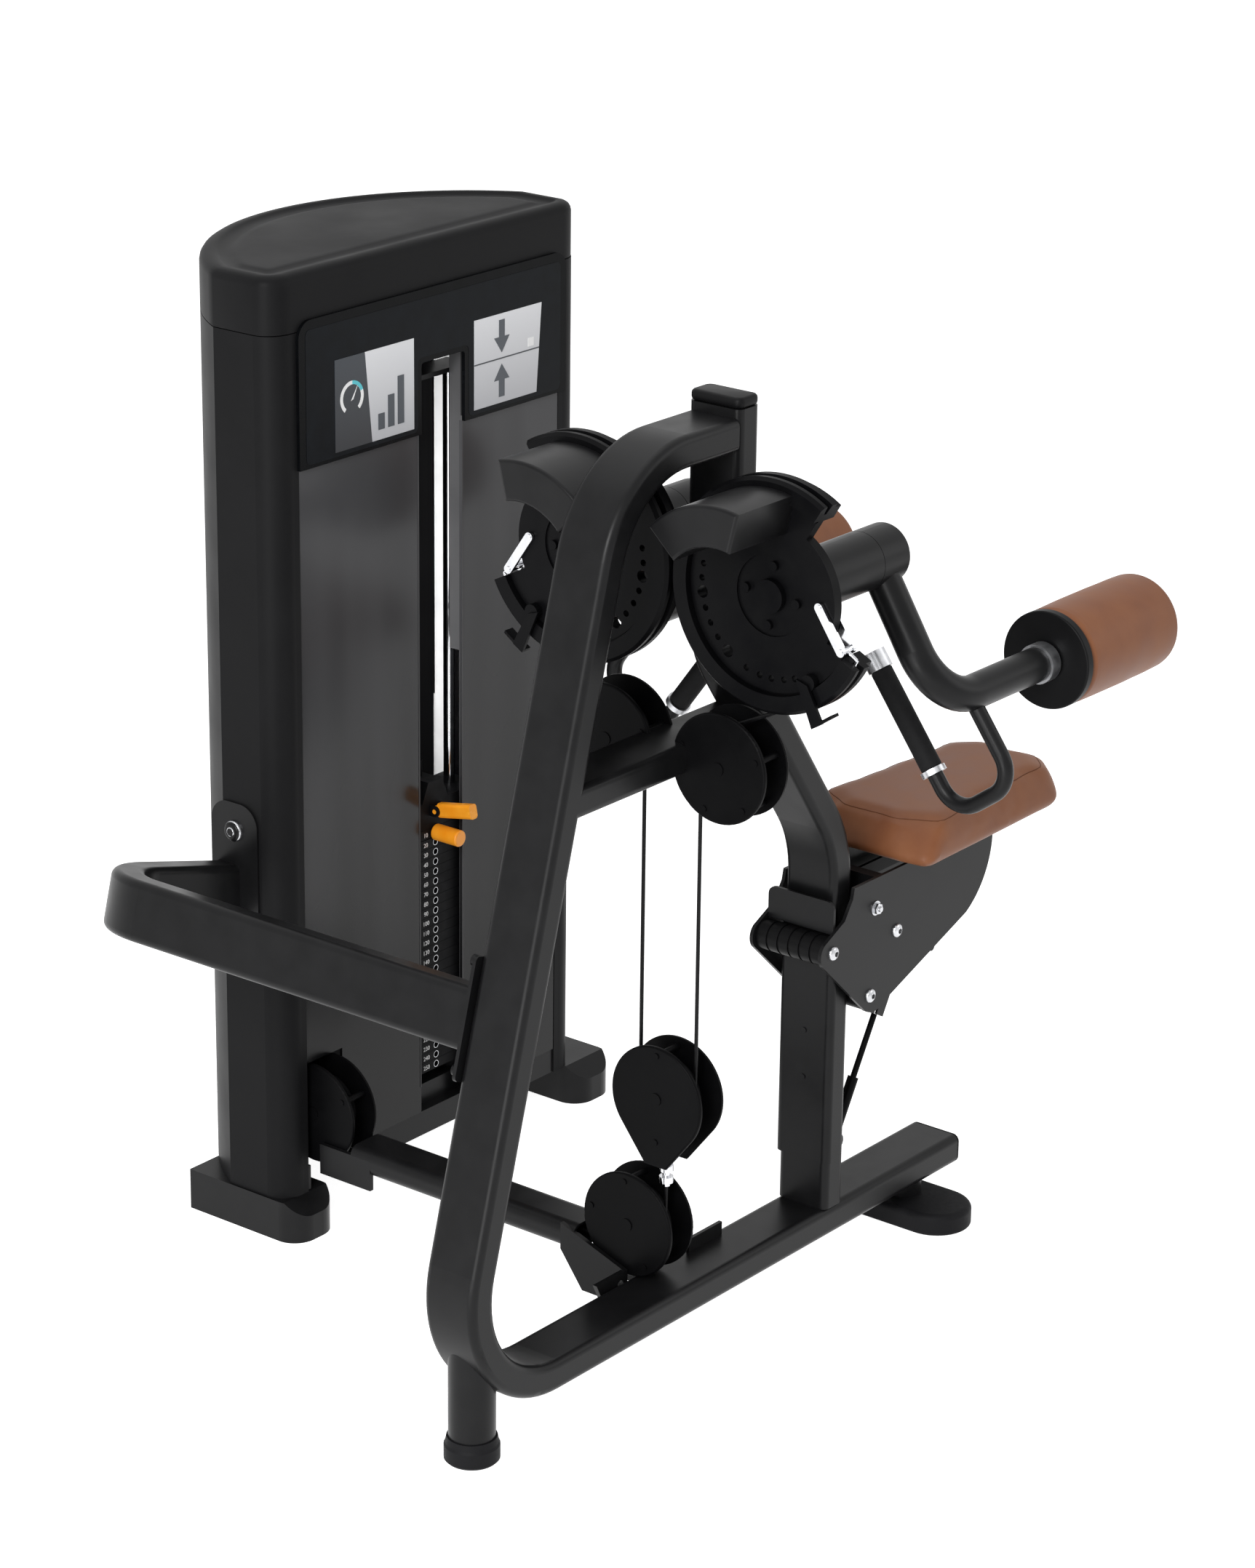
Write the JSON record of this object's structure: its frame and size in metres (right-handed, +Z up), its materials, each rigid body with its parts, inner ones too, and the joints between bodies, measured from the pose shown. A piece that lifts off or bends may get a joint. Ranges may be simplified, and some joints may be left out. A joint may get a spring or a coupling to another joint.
{
  "type": "lateral raise machine",
  "caption": "Gym lateral raise machine with two padded swing arms, cam and cable drive, height-adjustable seat and enclosed weight tower.",
  "frame": {"origin": "centre of the round front foot's sole, on the floor", "axes": "+Z up; +X along the base tube towards the seat; +Y from the frame towards the weight tower"},
  "size_m": [1.448, 1.4231, 1.597],
  "materials": {
    "frame_paint": "satin",
    "black_paint": "satin",
    "guard_paint": "satin",
    "cast_black": "matte",
    "bare_steel": "satin",
    "chrome": "polished",
    "alloy": "satin",
    "cable": "satin",
    "black_plastic": "matte",
    "cover_plastic": "satin",
    "panel_plastic": "semi-gloss",
    "smoked": "gloss",
    "rubber": "matte",
    "grip_rubber": "matte",
    "upholstery": "satin",
    "orange": "gloss"
  },
  "bodies": {
    "frame": {"base_tube": "frame_paint", "leg_tube": "frame_paint", "top_tube": "frame_paint", "seat_column": "frame_paint", "crossbar": "frame_paint", "tube_caps": "black_plastic", "rubber_feet": "rubber", "pivot_bracket": "frame_paint", "pulley_guards": "guard_paint", "link_bracket": "frame_paint", "guard_rail": "frame_paint", "seat_rack": "bare_steel", "column_sleeve": "frame_paint", "cables_fixed": "cable", "cables_drop": "cable", "cable_riser": "cable", "cable_stack": "cable", "strut": "black_paint", "tower_cover": "cover_plastic", "tower_cap": "cover_plastic", "info_panel": "panel_plastic", "smoked_panels": "smoked", "tower_frame": "frame_paint", "tower_feet": "frame_paint", "stack_plates": "cast_black", "guide_rods": "chrome"},
    "arm_left_body": {"arm_left": "frame_paint", "cam_left": "frame_paint", "counterweight_left": "frame_paint", "cable_end_left": "chrome", "grip_left": "grip_rubber", "trims_left": "alloy"},
    "pad_left": {"roller_left": "upholstery", "roller_caps_left": "black_plastic"},
    "upper_pulley_left": {"upper_wheel_left": "black_plastic"},
    "top_pulley_left": {"top_wheel_left": "black_plastic"},
    "arm_right_body": {"arm_right": "frame_paint", "cam_right": "frame_paint", "counterweight_right": "frame_paint", "cable_end_right": "chrome", "grip_right": "grip_rubber", "trims_right": "alloy"},
    "pad_right": {"roller_right": "upholstery", "roller_caps_right": "black_plastic"},
    "upper_pulley_right": {"upper_wheel_right": "black_plastic"},
    "top_pulley_right": {"top_wheel_right": "black_plastic"},
    "float_block": {"float_plates": "guard_paint", "float_connector": "chrome"},
    "float_pulley": {"float_wheel": "black_plastic"},
    "low_pulley": {"low_wheel": "black_plastic"},
    "tower_pulley": {"tower_wheel": "black_plastic"},
    "stack": {"stack_head": "cast_black"},
    "pin": {"selector_pin": "orange"},
    "addon": {"addon_lever": "orange"},
    "carriage": {"seat_frame": "frame_paint", "seat_pad": "upholstery"},
    "front_roller": {"seat_roller_front": "black_plastic"},
    "low_roller": {"seat_roller_low": "black_plastic"},
    "latch": {"seat_lever": "black_paint", "lever_knob": "orange"}
  },
  "joints": [
    {"name": "arm_left_swing", "type": "hinge", "parent": "frame", "child": "arm_left_body", "pos_m": [0.58, -0.178, 1.26], "axis": [-1, 0, 0], "range_deg": [0, 75]},
    {"name": "arm_right_swing", "type": "hinge", "parent": "frame", "child": "arm_right_body", "pos_m": [0.58, 0.178, 1.26], "axis": [1, 0, 0], "range_deg": [0, 75]},
    {"name": "pad_left_spin", "type": "hinge", "parent": "arm_left_body", "child": "pad_left", "pos_m": [1.12, -0.305, 1.055], "axis": [1, 0, 0], "continuous": true},
    {"name": "pad_right_spin", "type": "hinge", "parent": "arm_right_body", "child": "pad_right", "pos_m": [1.12, 0.305, 1.055], "axis": [1, 0, 0], "continuous": true},
    {"name": "upper_left_spin", "type": "hinge", "parent": "frame", "child": "upper_pulley_left", "pos_m": [0.458, -0.105, 0.985], "axis": [1, 0, 0], "range_deg": [0, 231.48]},
    {"name": "upper_right_spin", "type": "hinge", "parent": "frame", "child": "upper_pulley_right", "pos_m": [0.458, 0.105, 0.985], "axis": [-1, 0, 0], "range_deg": [0, 231.48]},
    {"name": "float_lift", "type": "slide", "parent": "frame", "child": "float_block", "axis": [0, 0, 1], "range_m": [0, 0.2127], "deforming": ["cables_drop", "cable_riser"]},
    {"name": "float_spin", "type": "hinge", "parent": "float_block", "child": "float_pulley", "pos_m": [0.458, 0, 0.43], "axis": [1, 0, 0], "continuous": true},
    {"name": "low_spin", "type": "hinge", "parent": "frame", "child": "low_pulley", "pos_m": [0.458, 0.0525, 0.205], "axis": [1, 0, 0], "range_deg": [-231.48, 0]},
    {"name": "tower_spin", "type": "hinge", "parent": "frame", "child": "tower_pulley", "pos_m": [0.458, 0.7, 0.205], "axis": [1, 0, 0], "range_deg": [-231.48, 0]},
    {"name": "top_left_spin", "type": "hinge", "parent": "frame", "child": "top_pulley_left", "pos_m": [0.5105, 0.7525, 1.43], "axis": [0, 1, 0], "range_deg": [-231.48, 0]},
    {"name": "top_right_spin", "type": "hinge", "parent": "frame", "child": "top_pulley_right", "pos_m": [0.6935, 0.7525, 1.43], "axis": [0, 1, 0], "range_deg": [-231.48, 0]},
    {"name": "stack_lift", "type": "slide", "parent": "frame", "child": "stack", "axis": [0, 0, 1], "range_m": [0, 0.2127], "deforming": ["cable_stack"]},
    {"name": "pin_pull", "type": "slide", "parent": "stack", "child": "pin", "axis": [0, -1, 0], "range_m": [0, 0.06]},
    {"name": "addon_turn", "type": "hinge", "parent": "stack", "child": "addon", "pos_m": [0.746, 0.7031, 0.63845], "axis": [-1, 0, 0], "range_deg": [0, 40]},
    {"name": "seat_height", "type": "slide", "parent": "frame", "child": "carriage", "axis": [0, 0, 1], "range_m": [-0.072, 0.048], "deforming": ["strut"]},
    {"name": "front_roller_spin", "type": "hinge", "parent": "carriage", "child": "front_roller", "pos_m": [0.7825, 0, 0.576], "axis": [0, 1, 0], "range_deg": [-168.9, 112.8]},
    {"name": "low_roller_spin", "type": "hinge", "parent": "carriage", "child": "low_roller", "pos_m": [0.886, 0, 0.472], "axis": [0, 1, 0], "range_deg": [-110.5, 165.5]},
    {"name": "latch_lift", "type": "hinge", "parent": "carriage", "child": "latch", "pos_m": [0.94, 0, 0.612], "axis": [0, -1, 0], "range_deg": [0, 6], "stiffness_Nm_per_rad": 8, "springref_deg": -11.46}
  ],
  "couplings": [
    {"joint": "arm_right_swing", "follows": "arm_left_swing", "ratio": 1},
    {"joint": "upper_left_spin", "follows": "arm_left_swing", "ratio": 3.0857},
    {"joint": "upper_right_spin", "follows": "arm_left_swing", "ratio": 3.0857},
    {"joint": "float_lift", "follows": "arm_left_swing", "m_per_rad": 0.162},
    {"joint": "low_spin", "follows": "arm_left_swing", "ratio": -3.0857},
    {"joint": "tower_spin", "follows": "arm_left_swing", "ratio": -3.0857},
    {"joint": "top_left_spin", "follows": "arm_left_swing", "ratio": -3.0857},
    {"joint": "top_right_spin", "follows": "arm_left_swing", "ratio": -3.0857},
    {"joint": "stack_lift", "follows": "arm_left_swing", "m_per_rad": 0.162},
    {"joint": "front_roller_spin", "follows": "seat_height", "rad_per_m": 40.816},
    {"joint": "low_roller_spin", "follows": "seat_height", "rad_per_m": -40}
  ]
}
